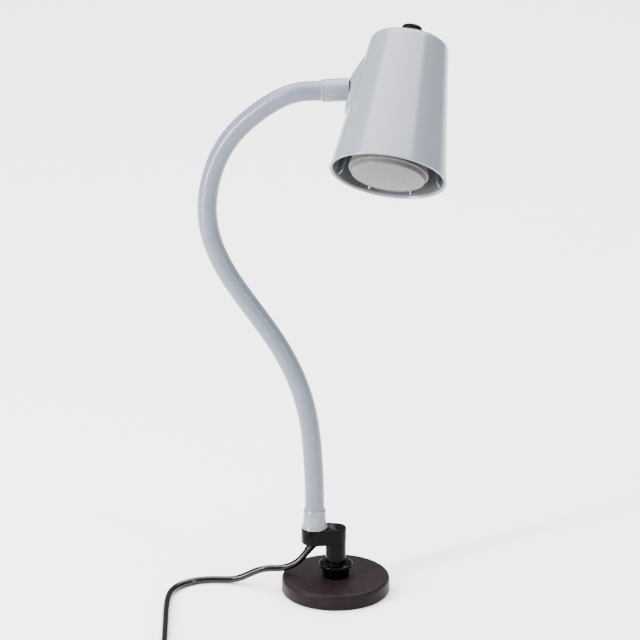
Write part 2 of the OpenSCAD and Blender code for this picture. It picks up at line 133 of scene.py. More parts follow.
def surface(name, color, rough, metallic=0.0, spread=0.05, tint=0.06, grain=600.0, bump=0.0002,
            bump_strength=0.25, cells=0.0, coat=0.0, wear=60.0, specular=0.5):
    """Adds a procedural surface to LOOK: colour and roughness vary, and a fine bump sits on it.

    tint and wear are the strength and scale of the colour's variation, spread the roughness's, and
    cells adds rounded pimples of that scale."""
    mat, nodes, links, bsdf = new_material(name)
    bsdf.inputs["Metallic"].default_value = metallic
    bsdf.inputs["Coat Weight"].default_value = coat
    bsdf.inputs["Coat Roughness"].default_value = 0.08
    bsdf.inputs["Specular IOR Level"].default_value = specular
    broad = noise_node(nodes, links, wear)
    fine = noise_node(nodes, links, grain, 3.0)
    mix = nodes.new("ShaderNodeMix")
    mix.data_type = "RGBA"
    mix.inputs["A"].default_value = (*[c * (1 - tint) for c in color], 1)
    mix.inputs["B"].default_value = (*[min(1, c * (1 + tint)) for c in color], 1)
    links.new(ramp(nodes, links, broad.outputs["Fac"], 0, 1), mix.inputs["Factor"])
    links.new(mix.outputs["Result"], bsdf.inputs["Base Color"])
    add = nodes.new("ShaderNodeMath")
    add.operation = "ADD"
    links.new(ramp(nodes, links, broad.outputs["Fac"], rough - spread, rough), add.inputs[0])
    links.new(ramp(nodes, links, fine.outputs["Fac"], 0, spread), add.inputs[1])
    links.new(add.outputs["Value"], bsdf.inputs["Roughness"])
    node = nodes.new("ShaderNodeBump")
    node.inputs["Strength"].default_value = bump_strength
    node.inputs["Distance"].default_value = bump
    height = fine.outputs["Fac"]
    if cells:
        coord = nodes.new("ShaderNodeTexCoord")
        voronoi = nodes.new("ShaderNodeTexVoronoi")
        voronoi.inputs["Scale"].default_value = cells
        links.new(coord.outputs["Object"], voronoi.inputs["Vector"])
        total = nodes.new("ShaderNodeMath")
        total.operation = "ADD"
        links.new(voronoi.outputs["Distance"], total.inputs[0])
        links.new(fine.outputs["Fac"], total.inputs[1])
        height = total.outputs["Value"]
    links.new(height, node.inputs["Height"])
    links.new(node.outputs["Normal"], bsdf.inputs["Normal"])
    LOOK[name] = mat


# Each row: colour, roughness, metallic, spread, tint, grain, bump height in metres, bump strength
surface("coated_steel", (0.0085, 0.0052, 0.0068), 0.42, 0.0, 0.08, 0.25, 900, 0.00025, 0.5,
        cells=420, wear=140, specular=0.05)
surface("gloss_black", (0.0008, 0.0008, 0.001), 0.12, 0.0, 0.04, 0.2, 500, 0.00004, 0.15,
        specular=0.05)
surface("satin_black", (0.0012, 0.0012, 0.0015), 0.20, 0.0, 0.06, 0.2, 1100, 0.00008, 0.3,
        wear=90, specular=0.05)
surface("magnet", (0.06, 0.06, 0.065), 0.7, 0.3, 0.12, 0.2, 400, 0.0003, 0.5)
surface("zinc_steel", (0.60, 0.60, 0.60), 0.34, 1.0, 0.12, 0.1, 700, 0.00008, 0.3)
surface("dark_steel", (0.06, 0.06, 0.065), 0.4, 0.9, 0.1, 0.2, 700, 0.00008, 0.3)
surface("pad_rubber", (0.02, 0.02, 0.02), 0.8, 0.0, 0.1, 0.2, 500, 0.0003, 0.5)
surface("washer_nylon", (0.01, 0.01, 0.01), 0.4, 0.0, 0.1, 0.2, 400, 0.0001, 0.3, specular=0.15)
surface("arm_vinyl", (0.108, 0.126, 0.160), 0.22, 0.0, 0.05, 0.06, 1200, 0.00004, 0.15, wear=45,
        coat=0.18, specular=0.3)
surface("grey_enamel", (0.14, 0.158, 0.19), 0.18, 0.0, 0.05, 0.05, 900, 0.00003, 0.12, coat=0.25,
        specular=0.35)
surface("shade_grey", (0.148, 0.165, 0.196), 0.23, 0.0, 0.05, 0.03, 700, 0.00005, 0.15, coat=0.25,
        wear=12)
surface("ceramic", (0.75, 0.73, 0.68), 0.3, 0.0, 0.1, 0.05, 300, 0.0001, 0.3, coat=0.3)
surface("brass", (0.62, 0.44, 0.17), 0.3, 1.0, 0.1, 0.12, 600, 0.00006, 0.3)
surface("lamp_metal", (0.66, 0.66, 0.67), 0.3, 1.0, 0.1, 0.08, 600, 0.00006, 0.3)
surface("lamp_glass", (0.40, 0.40, 0.39), 0.14, 0.35, 0.05, 0.05, 300, 0.00005, 0.2, coat=0.5)
surface("lens_glass", (0.098, 0.097, 0.095), 0.30, 0.0, 0.08, 0.06, 500, 0.00012, 0.35, coat=0.04,
        wear=30, specular=0.09)
surface("switch_plastic", (0.03, 0.03, 0.03), 0.4, 0.0, 0.1, 0.2, 500, 0.0001, 0.3)
surface("knob_plastic", (0.001, 0.001, 0.001), 0.26, 0.0, 0.08, 0.2, 800, 0.0001, 0.3,
        specular=0.07)
surface("cord_rubber", (0.0015, 0.0015, 0.002), 0.13, 0.0, 0.05, 0.2, 700, 0.00004, 0.2,
        specular=0.3)
# Painted shade: a darker grey for the shade's inner wall, standing in for the shadow inside the
# shade
surface("shade_inside_painted_shade", (0.065, 0.068, 0.072), 0.42, 0.0, 0.06, 0.05, 700, 0.00006, 0.2, wear=12,
        specular=0.3)
surface("lead_wire", (0.40, 0.03, 0.02), 0.4, 0.0, 0.1, 0.1, 400, 0.0001, 0.3)

# ---------------------------------------------------------------- geometry helpers

def link(name, mesh, slot, smooth_angle=40.0):
    """Shows mesh as a piece with slot's material; edges sharper than smooth_angle stay sharp."""
    obj = add_object(name, mesh)
    mesh.materials.append(LOOK[slot])
    mesh.shade_smooth()
    with_sharp_edges(mesh, math.radians(smooth_angle))
    return obj


def ride(obj, body, *replaced):
    if replaced:
        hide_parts(*replaced)
    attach(obj, body)
    return obj


def with_sharp_edges(mesh, angle):
    bm = bmesh.new()
    bm.from_mesh(mesh)
    for edge in bm.edges:
        if len(edge.link_faces) == 2 and edge.calc_face_angle(0.0) > angle:
            edge.smooth = False
    bm.to_mesh(mesh)
    bm.free()


def mesh_from(name, verts, faces):
    mesh = bpy.data.meshes.new(name)
    mesh.from_pydata([tuple(v) for v in verts], [], faces)
    bm = bmesh.new()
    bm.from_mesh(mesh)
    bmesh.ops.remove_doubles(bm, verts=bm.verts, dist=1e-7)
    bmesh.ops.recalc_face_normals(bm, faces=bm.faces)
    bm.to_mesh(mesh)
    bm.free()
    return mesh


def capped_faces(rows, n, start=0):
    """Side faces of rows rings of n points each, then a face on each end."""
    faces = []
    for i in range(rows - 1):
        low, high = start + i * n, start + (i + 1) * n
        for k in range(n):
            m = (k + 1) % n
            faces.append([low + k, low + m, high + m, high + k])
    faces.append([start + k for k in range(n)][::-1])
    faces.append([start + (rows - 1) * n + k for k in range(n)])
    return faces


ON_AXIS = 1e-6


def fillet(points, radii, steps=4):
    """Rounds the corners of a closed (r, z) outline, with one radius for each corner."""
    n = len(points)
    out = []
    for i, (p, r) in enumerate(zip(points, radii)):
        p = Vector(p).to_2d()
        a = Vector(points[i - 1]).to_2d() - p
        b = Vector(points[(i + 1) % n]).to_2d() - p
        if r <= 0 or p.x < ON_AXIS:
            out.append(tuple(p))
            continue
        half = a.angle(b) / 2
        cut = min(r / math.tan(half), a.length * 0.49, b.length * 0.49)
        start, end = p + a.normalized() * cut, p + b.normalized() * cut
        for k in range(steps + 1):
            t = k / steps
            out.append(tuple(start * (1 - t) ** 2 + p * 2 * t * (1 - t) + end * t * t))
    return out


def lathe_data(profile, segments, place=Matrix.Identity(4), wobble=None):
    """Vertices and faces of a closed (r, z) outline, in mm, turned about Z."""
    verts, faces = [], []
    n = len(profile)
    for i in range(segments):
        a = 2 * math.pi * i / segments
        for r, z in profile:
            rr = wobble(a, r, z) if wobble else r
            verts.append(place @ Vector((rr * math.cos(a) * MM, rr * math.sin(a) * MM, z * MM)))
    for i in range(segments):
        j = (i + 1) % segments
        for k in range(n):
            m = (k + 1) % n
            if profile[k][0] >= ON_AXIS or profile[m][0] >= ON_AXIS:
                faces.append([i * n + k, j * n + k, j * n + m, i * n + m])
    return verts, faces


def lathe(name, profile, slot, place=Matrix.Identity(4), segments=96, wobble=None,
          smooth_angle=40.0):
    verts, faces = lathe_data(profile, segments, place, wobble)
    mesh = mesh_from(name, verts, faces)
    return link(name, mesh, slot, smooth_angle)


def axes_to_matrix(origin, x, y, z):
    m = Matrix((x, y, z)).transposed().to_4x4()
    m.translation = origin
    return m


def frame_along(origin, z, hint=Vector((0, 1, 0))):
    z = z.normalized()
    x = hint.cross(z).normalized()
    return axes_to_matrix(origin, x, z.cross(x), z)


def cut(obj, cutter):
    """Cuts cutter out of obj, and drops cutter."""
    mod = obj.modifiers.new("cut", "BOOLEAN")
    mod.operation = "DIFFERENCE"
    mod.solver = "EXACT"
    mod.object = cutter
    bpy.context.view_layer.update()
    depsgraph = bpy.context.evaluated_depsgraph_get()
    mesh = bpy.data.meshes.new_from_object(obj.evaluated_get(depsgraph))
    obj.modifiers.clear()
    old = obj.data
    obj.data = mesh
    mesh.name = obj.name
    bpy.data.meshes.remove(old)
    bpy.data.objects.remove(cutter)


def cutter_cylinder(radius, z0, z1, place, segments=64):
    verts, faces = lathe_data([(0, z0), (radius, z0), (radius, z1), (0, z1)], segments, place)
    return add_object("cutter", mesh_from("cutter", verts, faces))


def smooth(t):
    """From 0 at t = 0 to 1 at t = 1, level at both ends."""
    t = max(0.0, min(1.0, t))
    return t * t * (3 - 2 * t)


# ---------------------------------------------------------------- frames from the record

TABLE_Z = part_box("base_pad")[0][2]
GRIP = joint_axis("head_swivel")
UP = joint_axis("switch_turn")
SLEEVE_TO_AXIS = 61.5 * MM
# HEAD's origin is on the shade's axis, level with the arm's end; its Z is the shade's axis
HEAD_AT = joint_pos("head_swivel") + GRIP * SLEEVE_TO_AXIS
HEAD_X = (GRIP - UP * GRIP.dot(UP)).normalized()
HEAD = axes_to_matrix(HEAD_AT, HEAD_X, UP.cross(HEAD_X), UP)
ARM_X = joint_pos("arm_bend_01").x
AT_ARM = Matrix.Translation((ARM_X, 0, 0))
BENDS = [joint_pos(("arm_bend_%02d" if k % 2 else "arm_side_%02d") % k) for k in range(1, 13)]

# ---------------------------------------------------------------- cord

CORD_D = 8.2 * MM
TABLE_CORD_Z = 4.2
# The cord's middle line from its way out to the coil, in mm
ROUTE = [
    (-34, 1.6, 48.9), (-38, 2.3, 43.1), (-42.4, 3, 37.4), (-47.8, 4, 32.4), (-54.2, 5.1, 28.5),
    (-61.4, 6.3, 25.6), (-69.2, 7.5, 24), (-77, 8.9, 23.4), (-86, 10.6, 21.6),
    (-94.8, 12.3, 18.2), (-103.4, 13.9, 13.5), (-112.2, 15.5, 8.8), (-121.6, 17.1, 5.6),
    (-131.5, 18.6, 4.4),
] + [(x, y, TABLE_CORD_Z) for x, y in (
    (-142, 19.4), (-154, 18.8), (-166, 15.8), (-177, 10), (-186, 1.6), (-192.6, -9),
    (-196.8, -22), (-199, -40), (-200, -65), (-200, -90), (-200, -115), (-200, -140),
    (-200, -165), (-200, -190), (-200, -210), (-200, -228))]
COIL_AT = (-147.8, -250.0)
COIL_OUTER, COIL_STEP = 52.2, 8.2
COIL_START, COIL_END, COIL_TURN_STEP = 180, 2070, 15
TAIL_RUN, TAIL_POINTS = 46.0, 6


def quarter(angle, start, end):
    """A quarter turn, in radians, taken smoothly between two angles of the coil."""
    return math.pi / 2 * smooth((angle - start) / (end - start))


def coil_point(angle):
    """The coil winds in twice on the table, climbs, and winds out twice on top of itself."""
    r, z = COIL_OUTER, TABLE_CORD_Z
    r -= COIL_STEP * math.sin(quarter(angle, 415, 560))
    r -= COIL_STEP * math.sin(quarter(angle, 775, 920))
    z += COIL_STEP * (1 - math.cos(quarter(angle, 1040, 1200)))
    r += COIL_STEP * math.sin(quarter(angle, 1415, 1560))
    r += COIL_STEP * math.sin(quarter(angle, 1775, 1920))
    a = math.radians(angle)
    return COIL_AT[0] + r * math.cos(a), COIL_AT[1] + r * math.sin(a), z


def cord_points():
    points = list(ROUTE)
    points += [coil_point(a) for a in range(COIL_START, COIL_END + 1, COIL_TURN_STEP)]
    last = points[-1]
    for i in range(1, TAIL_POINTS + 1):
        u = i / TAIL_POINTS
        points.append((last[0] + TAIL_RUN * u, last[1], last[2] - COIL_STEP * smooth(u)))
    return [Vector(p) * MM for p in points]


def make_cord():
    points = cord_points()
    data = bpy.data.curves.new("cord", "CURVE")
    data.dimensions = "3D"
    data.bevel_depth = CORD_D / 2
    data.bevel_resolution = 5
    data.use_fill_caps = True
    data.resolution_u = 3
    spline = data.splines.new("BEZIER")
    spline.bezier_points.add(len(points) - 1)
    for i, (bp, p) in enumerate(zip(spline.bezier_points, points)):
        a, b = points[max(i - 1, 0)], points[min(i + 1, len(points) - 1)]
        along = (b - a).normalized()
        bp.co = p
        bp.handle_left_type = bp.handle_right_type = "FREE"
        bp.handle_left = p - along * (p - a).length / 3
        bp.handle_right = p + along * (b - p).length / 3
    obj = add_object("cord", data)
    data.materials.append(LOOK["cord_rubber"])
    ride(obj, "swivel", "cord_tube", "cord_coil", "cord_tail")
    return obj, points, sum((q - p).length for p, q in zip(points, points[1:]))


PLUG_LEN, PLUG_ROWS, PLUG_SIDES = 38.0, 48, 40
PLUG_GRIP, PLUG_SWELL, PLUG_NOSE = 11, 9, 1.5
PLUG_LOW = 3.95
PLUG_SQUARENESS = 0.75


def plug_level(i):
    """One row's place along the plug, half width, height above the middle and depth below it."""
    x = PLUG_LEN * i / PLUG_ROWS
    if x < PLUG_GRIP:
        groove = 0.45 if i % 3 == 1 else 0.0
        return x, 4.8 - groove, 4.7 - groove, PLUG_LOW
    swell = smooth((x - PLUG_GRIP) / PLUG_SWELL)
    half_w, top, low = 4.8 + 9.5 * swell, 4.5 + 7.8 * swell, PLUG_LOW
    nose = PLUG_LEN - PLUG_NOSE
    if x > nose:
        ease = (x - nose) / PLUG_NOSE
        half_w, top, low = half_w - ease * 1.2, top - ease * 1.2, low - ease * 1.0
    return x, half_w, top, low


def make_plug(at):
    """A moulded plug lying on its flat side: a ribbed grip, then a head with a rounded outline."""
    verts = []
    for i in range(PLUG_ROWS + 1):
        x, half_w, top, low = plug_level(i)
        for k in range(PLUG_SIDES):
            a = 2 * math.pi * k / PLUG_SIDES
            c, s = math.cos(a), math.sin(a)
            y = half_w * math.copysign(abs(c) ** PLUG_SQUARENESS, c)
            z = (top if s > 0 else low) * math.copysign(abs(s) ** PLUG_SQUARENESS, s)
            verts.append(Vector((at.x + x * MM, at.y + y * MM, at.z + z * MM)))
    mesh = mesh_from("plug", verts, capped_faces(PLUG_ROWS + 1, PLUG_SIDES))
    return ride(link("plug", mesh, "cord_rubber", 35), "swivel", "plug_body")


def make_strain_relief(exit_at, direction):
    """Tapered relief with rings round it; z runs back along the cord into the block."""
    place = frame_along(exit_at, -direction, Vector((0, 1, 0)))
    outline = [(0, 0), (4.35, 0), (4.6, 0.4)]
    for i in range(5):
        z = 1.6 + 2.4 * i
        r = 4.7 + 0.16 * i
        outline += [(r, z), (r, z + 1.0), (r - 0.55, z + 1.3), (r - 0.55, z + 2.1)]
    outline += [(5.35, 13.8), (5.35, 24), (0, 24)]
    relief = lathe("strain_relief", outline, "cord_rubber", place, 48, smooth_angle=50)
    ride(relief, "swivel", "cord_gland")


cord, cord_line, cord_length = make_cord()
plug = make_plug(cord_line[-1])
exit_at = cord_line[0]
exit_way = (cord_line[1] - cord_line[0]).normalized()
make_strain_relief(exit_at, exit_way)

# ---------------------------------------------------------------- base and swivel

BASE_R, BASE_H, BASE_EDGE = 64.0, 19.0, 4.0


def make_base():
    """A steel cup over the magnet, with a rounded top edge."""
    outline = [(4.2, 15), (60.5, 15), (60.5, 1), (BASE_R - 0.3, 1), (BASE_R, 1.5),
               (BASE_R, BASE_H - BASE_EDGE)]
    for i in range(1, 13):
        a = math.radians(90 * i / 12)
        outline.append((BASE_R - BASE_EDGE * (1 - math.cos(a)),
                        BASE_H - BASE_EDGE * (1 - math.sin(a))))
    outline += [(52, BASE_H), (36, BASE_H), (22, BASE_H), (4.2, BASE_H)]
    shell = lathe("base_shell", outline, "coated_steel", segments=192, smooth_angle=50)
    ride(shell, "base", "base_cup")


SET_SCREW_R = 2.55


def make_collar():
    """The post's socket, flanged at its top, with a set screw's hole at the back."""
    outline = [(8, 23.4), (8, 35.0), (8.4, 35.4), (19.0, 35.4), (19.5, 35.1), (19.75, 34.6),
               (19.75, 32.4), (19.5, 31.9), (19.0, 31.6), (16.9, 31.6), (16.55, 31.3), (16.5, 30.6),
               (15.9, 19.3), (15.7, 19), (4.03, 19), (4.03, 23.4)]
    obj = lathe("collar_ring", outline, "gloss_black", segments=128, smooth_angle=35)
    back = frame_along(Vector((0, 0, 28.45 * MM)), Vector((0, 1, 0)), Vector((1, 0, 0)))
    cut(obj, cutter_cylinder(SET_SCREW_R, 5, 25, back, 32))
    ride(obj, "base", "collar")


def make_post():
    """The post: a grooved spigot in the collar, the column, and a spigot up into the block."""
    outline = [(0, 24.4), (7.5, 24.4), (7.95, 24.9), (7.95, 25.45), (6.7, 25.45), (6.7, 31.45),
               (7.95, 31.45), (7.95, 36), (11.7, 36), (12.2, 36.5), (12.2, 66.6), (11.8, 67),
               (7, 67), (7, 76.6), (6.6, 77), (0, 77)]
    ride(lathe("post_column", outline, "gloss_black", smooth_angle=35), "swivel", "swivel_post")


BLOCK_R1, BLOCK_R2, BLOCK_LOW, BLOCK_TOP = 16.0, 12.6, 62.0, 81.0


def block_outline(inset, steps=40):
    """Plan of the block's hull: a large round end at the arm, a small one at the post."""
    r1, r2 = BLOCK_R1 - inset, BLOCK_R2 - inset
    reach = -ARM_X / MM
    tangent = math.acos((r1 - r2) / reach)
    points = []
    for i in range(steps + 1):
        a = -tangent + 2 * tangent * i / steps
        points.append((r2 * math.cos(a), r2 * math.sin(a)))
    for i in range(steps + 1):
        a = tangent + (2 * math.pi - 2 * tangent) * i / steps
        points.append((-reach + r1 * math.cos(a), r1 * math.sin(a)))
    return points


def rounding(radius, steps=4):
    """(depth below the face, inset) pairs round an edge, from its side up to the face."""
    turns = [math.radians(90 * i / steps) for i in range(steps + 1)]
    return [(radius * (1 - math.sin(a)), radius * (1 - math.cos(a))) for a in turns]


def make_block():
    """The offset block, with rounded edges and its bores."""
    levels = [(BLOCK_LOW + depth, inset) for depth, inset in reversed(rounding(1.0))]
    levels += [(BLOCK_TOP - depth, inset) for depth, inset in rounding(1.2)]
    verts = []
    for z, inset in levels:
        verts += [Vector((x * MM, y * MM, z * MM)) for x, y in block_outline(inset)]
    faces = capped_faces(len(levels), len(verts) // len(levels))
    obj = link("mount_block", mesh_from("mount_block", verts, faces), "satin_black", 35)
    cut(obj, cutter_cylinder(12.25, 50, 67, Matrix.Identity(4)))
    cut(obj, cutter_cylinder(7.05, 60, 77.5, Matrix.Identity(4)))
    cut(obj, cutter_cylinder(8.05, 68, 90, AT_ARM))
    back = frame_along(Vector((ARM_X, 0, 75 * MM)), Vector((0, 1, 0)), Vector((1, 0, 0)))
    cut(obj, cutter_cylinder(SET_SCREW_R, 5, 25, back, 32))
    relief = frame_along(exit_at, -exit_way, Vector((0, 1, 0)))
    cut(obj, cutter_cylinder(5.45, 8, 25, relief, 48))
    ride(obj, "swivel", "offset_block")


def make_ferrule():
    """The bell-shaped ferrule at the arm's foot, with its bead, and the fitting inside."""
    outline = fillet([(11.6, 81.05), (15.35, 81.05), (15.4, 81.9), (14.6, 84.2), (14.0, 88),
                      (13.15, 98.2), (12.75, 99.0), (12.85, 99.7), (13.45, 100.6), (13.3, 103.2),
                      (12.3, 104.9), (11.6, 105)],
                     [0, 0.3, 0.5, 3, 5, 0.6, 0.3, 0.3, 0.8, 1.4, 0.8, 0])
    ferrule = lathe("base_ferrule", outline, "grey_enamel", AT_ARM, smooth_angle=30)
    ride(ferrule, "swivel", "lower_ferrule")
    core = [(4.5, 71), (7.95, 71), (7.95, 83), (11.4, 83), (11.4, 106), (10.2, 108), (10.2, 113),
            (4.5, 113)]
    ride(lathe("core_low", core, "zinc_steel", AT_ARM, 64), "swivel", "lower_fitting")


make_base()
make_collar()
make_post()
make_block()
make_ferrule()

# ---------------------------------------------------------------- flexible arm

ARM_R = 11.5
ARM_FOOT = Vector((ARM_X, 0, 104 * MM))
TIP_JOINT = BENDS[-1]
TIP_LEN = 23
SLEEVE_START = TIP_JOINT + GRIP * TIP_LEN * MM
SLEEVE_LEN = 32.5
WASHER_T = 0.6
UPRIGHT = Vector((0, 0, 1))
SETTLE_ROUNDS = 60
LINE_STEPS = 60
RIB_PITCH = 3.1
GROOVE_DEPTH = 0.22
PER_RIB = 6
LINER_REACH = 8
LINER_R = ARM_R - 0.7
SHEATH_SIDES = 48


def arm_knots():
    """Points on the sheath's middle line, and the slopes there that keep its curvature even."""
    points = [ARM_FOOT] + BENDS + [SLEEVE_START + GRIP * 2 * MM]
    spans = [(q - p).length for p, q in zip(points, points[1:])]
    slopes = [UPRIGHT.copy() for _ in points[:-1]] + [GRIP.copy()]
    for _ in range(SETTLE_ROUNDS):
        for i in range(1, len(points) - 1):
            a, b = spans[i - 1], spans[i]
            pull = (points[i] - points[i - 1]) * (3 * b / a)
            pull += (points[i + 1] - points[i]) * (3 * a / b)
            slopes[i] = (pull - slopes[i - 1] * b - slopes[i + 1] * a) / (2 * (a + b))
    return points, slopes


def arm_line():
    """Dense points of the smooth middle line, LINE_STEPS to each span between knots."""
    points, slopes = arm_knots()
    line = []
    for i in range(len(points) - 1):
        p0, p1 = points[i], points[i + 1]
        span = (p1 - p0).length
        m0, m1 = slopes[i] * span, slopes[i + 1] * span
        for k in range(LINE_STEPS):
            t = k / LINE_STEPS
            h = (2 * t ** 3 - 3 * t ** 2 + 1, t ** 3 - 2 * t ** 2 + t, -2 * t ** 3 + 3 * t ** 2,
                 t ** 3 - t ** 2)
            line.append(p0 * h[0] + m0 * h[1] + p1 * h[2] + m1 * h[3])
    line.append(points[-1])
    return line


def resample(line, step):
    """The line in equal steps of arc length, and the arc length at each original point."""
    arc = [0.0]
    for p, q in zip(line, line[1:]):
        arc.append(arc[-1] + (q - p).length)
    out = []
    count = int(round(arc[-1] / step))
    j = 0
    for i in range(count + 1):
        s = arc[-1] * i / count
        while j < len(arc) - 2 and arc[j + 1] < s:
            j += 1
        t = (s - arc[j]) / max(arc[j + 1] - arc[j], 1e-12)
        out.append(line[j].lerp(line[j + 1], t))
    return out, arc


def rib_radius(index):
    """Rounded ribs: a narrow groove every RIB_PITCH."""
    phase = (index % PER_RIB) / PER_RIB
    return ARM_R + 0.05 - GROOVE_DEPTH * max(0.0, math.cos(2 * math.pi * phase)) ** 2.0


def sheath_rings(first, last, is_top):
    """(sample, radius) round one length's closed wall. A liner reaches on under the next length."""
    rings = [(i, rib_radius(i)) for i in range(first, last + 1)]
    if not is_top:
        rings += [(last, LINER_R), (last + LINER_REACH, LINER_R),
                  (last + LINER_REACH, LINER_R - 0.7), (last - 2, LINER_R - 0.7)]
    inside = list(range(first, last - PER_RIB, PER_RIB)) + [last - 2]
    return rings + [(i, LINER_R + 0.1) for i in reversed(inside)]


def find_seams(arc, samples):
    """Samples where one length ends: in the groove nearest the middle of each link."""
    last = len(samples) - 1
    seams = [0]
    for k in range(1, len(BENDS)):
        middle = arc[k * LINE_STEPS + LINE_STEPS // 2]
        i = int(round(middle / (arc[-1] / last)))
        seams.append(int(round(i / PER_RIB)) * PER_RIB)
    return seams + [last]


def ring_points(samples, i, r):
    """A circle of radius r round sample i, square to the line."""
    p = samples[i]
    along = (samples[min(i + 1, len(samples) - 1)] - samples[max(i - 1, 0)]).normalized()
    side = Vector((0, 1, 0))
    out = side.cross(along).normalized()
    points = []
    for q in range(SHEATH_SIDES):
        a = 2 * math.pi * q / SHEATH_SIDES
        points.append(p + (side * math.cos(a) + out * math.sin(a)) * r * MM)
    return points


def make_sheath():
    """The arm's ribbed covering, in one length for each bending point."""
    samples, arc = resample(arm_line(), RIB_PITCH * MM / PER_RIB)
    seams = find_seams(arc, samples)
    n = SHEATH_SIDES
    for k in range(1, len(seams)):
        first, last = seams[k - 1], seams[k]
        rings = sheath_rings(first, last, k == len(BENDS))
        verts, faces = [], []
        for i, (sample, r) in enumerate(rings):
            verts += ring_points(samples, sample, r)
            up = (i + 1) % len(rings)
            for q in range(n):
                m = (q + 1) % n
                faces.append([i * n + q, i * n + m, up * n + m, up * n + q])
        name = "sheath_%02d" % k
        obj = link(name, mesh_from(name, verts, faces), "arm_vinyl", 60)
        if k < len(BENDS):
            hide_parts("arm_link_%02d" % k)
        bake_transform(obj)


def make_tip():
    """The fitting in the arm's end, and the sleeve over it."""
    place = frame_along(TIP_JOINT, GRIP, Vector((0, 1, 0)))
    core = [(4.5, 3), (10.2, 3), (10.2, 20), (11.4, 24), (11.4, 51.5), (6.3, 51.5), (6.3, 80),
            (5.9, 80.5), (4.5, 80.5)]
    ride(lathe("core_tip", core, "zinc_steel", place, 64), "arm_tip", "upper_fitting")
    end = TIP_LEN + SLEEVE_LEN - WASHER_T
    # A thin skirt past the end covers the washer
    sleeve = fillet([(11.65, 23), (12.6, 23), (13.35, 24.2), (13.35, 26.0), (12.95, 26.5),
                     (12.95, 27.3), (13.5, 27.8), (13.5, end + 0.5), (12.75, end + 0.5),
                     (12.75, end), (6.4, end), (6.4, end - 4), (11.65, end - 4)],
                    [0.2, 0.5, 0.6, 0.3, 0.1, 0.1, 0.3, 0.3, 0.1, 0, 0, 0, 0])
    sleeve = lathe("tip_sleeve", sleeve, "grey_enamel", place, smooth_angle=30)
    ride(sleeve, "arm_tip", "upper_sleeve")


make_sheath()
make_tip()

# ---------------------------------------------------------------- shade

TOP_Z, MOUTH_Z = 58.0, -112.0
TOP_R, MOUTH_R = 45.0, 68.0
CONE = math.atan((MOUTH_R - TOP_R) / (TOP_Z - MOUTH_Z))
WALL, SHOULDER = 3.0, 9.0
BOSS_R = 19.0
# Front of the swivel's housing: height, and distance from the shade's axis
HOUSING = [(-78, 50), (-74.5, 60.8), (-72, 61.6), (-44.2, 59.6), (-42.6, 60.0), (-41.4, 61.9),
           (-30, 62.3), (-4, 62.5), (0, 62.1), (6, 60.4), (32, 48.8), (40, 43), (45, 30)]
HOUSING_LOW, HOUSING_HIGH = -79, 46


def cone_outline(inset):
    """(r, z) from the middle of the top, round the shoulder, down to the mouth."""
    r = SHOULDER - inset
    top = TOP_Z - inset
    sharp = TOP_R + inset * math.tan(CONE) - inset / math.cos(CONE)
    cx = sharp + r * math.tan(CONE) - r / math.cos(CONE)
    points = [(cx, top)]
    turn = math.pi / 2 - CONE
    for i in range(1, 13):
        a = math.pi / 2 - turn * i / 12
        points.append((cx + r * math.cos(a), top - r + r * math.sin(a)))
    low_r = sharp + (top - MOUTH_Z) * math.tan(CONE)
    last_r, last_z = points[-1]
    rows = 110
    for i in range(1, rows + 1):
        t = i / rows
        points.append((last_r + (low_r - last_r) * t, last_z + (MOUTH_Z - last_z) * t))
    return points


def housing_front(z):
    for (z0, f0), (z1, f1) in zip(HOUSING, HOUSING[1:]):
        if z0 <= z <= z1:
            return f0 + (f1 - f0) * (z - z0) / (z1 - z0)
    return 0.0


def soft_max(a, b, k):
    """The larger of a and b, blended where they are within k of each other."""
    h = max(0.0, min(1.0, 0.5 + 0.5 * (a - b) / k))
    return b + (a - b) * h + k * h * (1 - h)


def housing_radius(angle, z):
    """Distance from the shade's axis to the housing's side, in a direction."""
    front = housing_front(z)
    off = abs(math.pi - (angle % (2 * math.pi)))
    if front <= BOSS_R or off > 1.2:
        return 0.0
    centre = front - BOSS_R
    s = math.sin(off)
    if centre * s < BOSS_R:
        reach = centre * math.cos(off) + math.sqrt(BOSS_R ** 2 - (centre * s) ** 2)
        if reach * s <= BOSS_R and reach * math.cos(off) >= centre:
            return reach
    return BOSS_R / max(s, 1e-6)


def outer_radius(angle, r, z):
    """The shade's outside, where the housing grows out of the cone with a soft edge."""
    if z > HOUSING_HIGH or z < HOUSING_LOW:
        return r
    h = housing_radius(angle, z)
    if h <= r - 2.2:
        return r
    return max(r, soft_max(h, r, 2.0))


FINE_FROM, FINE_TO, FINE_STEP, COARSE_STEP = 148, 212, 0.5, 2.0


def shade_angles():
    """Directions round the shade, closer together over the housing."""
    angles = []
    a = 0.0
    while a < 360 - 1e-6:
        angles.append(math.radians(a))
        a += FINE_STEP if FINE_FROM <= a < FINE_TO else COARSE_STEP
    return angles


